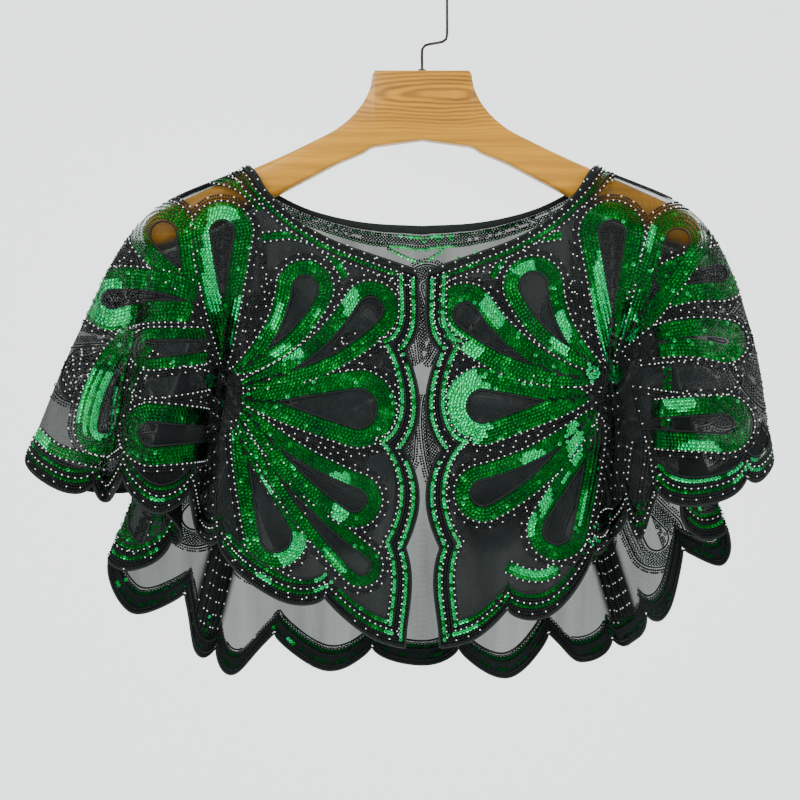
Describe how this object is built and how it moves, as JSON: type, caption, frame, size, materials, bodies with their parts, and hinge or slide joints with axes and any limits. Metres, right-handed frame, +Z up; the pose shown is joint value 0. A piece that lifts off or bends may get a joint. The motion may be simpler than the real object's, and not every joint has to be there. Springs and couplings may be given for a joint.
{
  "type": "sequinned capelet on a wooden hanger",
  "caption": "Short open-front evening capelet of black net with scalloped edges and green sequin flowers, hung on a contoured wooden hanger with a wire hook.",
  "frame": {"origin": "inside top of the hanger hook's loop, where the hook hangs on its rod", "axes": "+Z up; +X to the right of someone who faces the garment's open front; -Y towards that person"},
  "size_m": [0.5778, 0.1062, 0.5737],
  "materials": {
    "net": "sheer black net, matt",
    "cord": "black beaded cord, slight sheen",
    "tape": "black binding tape, soft sheen",
    "sequin": "green metallic sequins, glossy",
    "seed_bead": "black glass seed beads, glossy",
    "silver_bead": "silver-lined glass seed beads, glossy",
    "hanger_wood": "honey-coloured lacquered wood, satin",
    "wire": "dark plated wire, satin"
  },
  "bodies": {
    "root": {"front_left_net": "net", "front_right_net": "net", "back_net": "net", "front_left_edging": "cord", "front_right_edging": "cord", "back_edging": "cord", "neck_binding_left": "tape", "neck_binding_back": "tape", "neck_binding_right": "tape", "hanger_body": "hanger_wood", "hook_collar": "wire", "hanger_hook": "wire"}
  },
  "joints": []
}
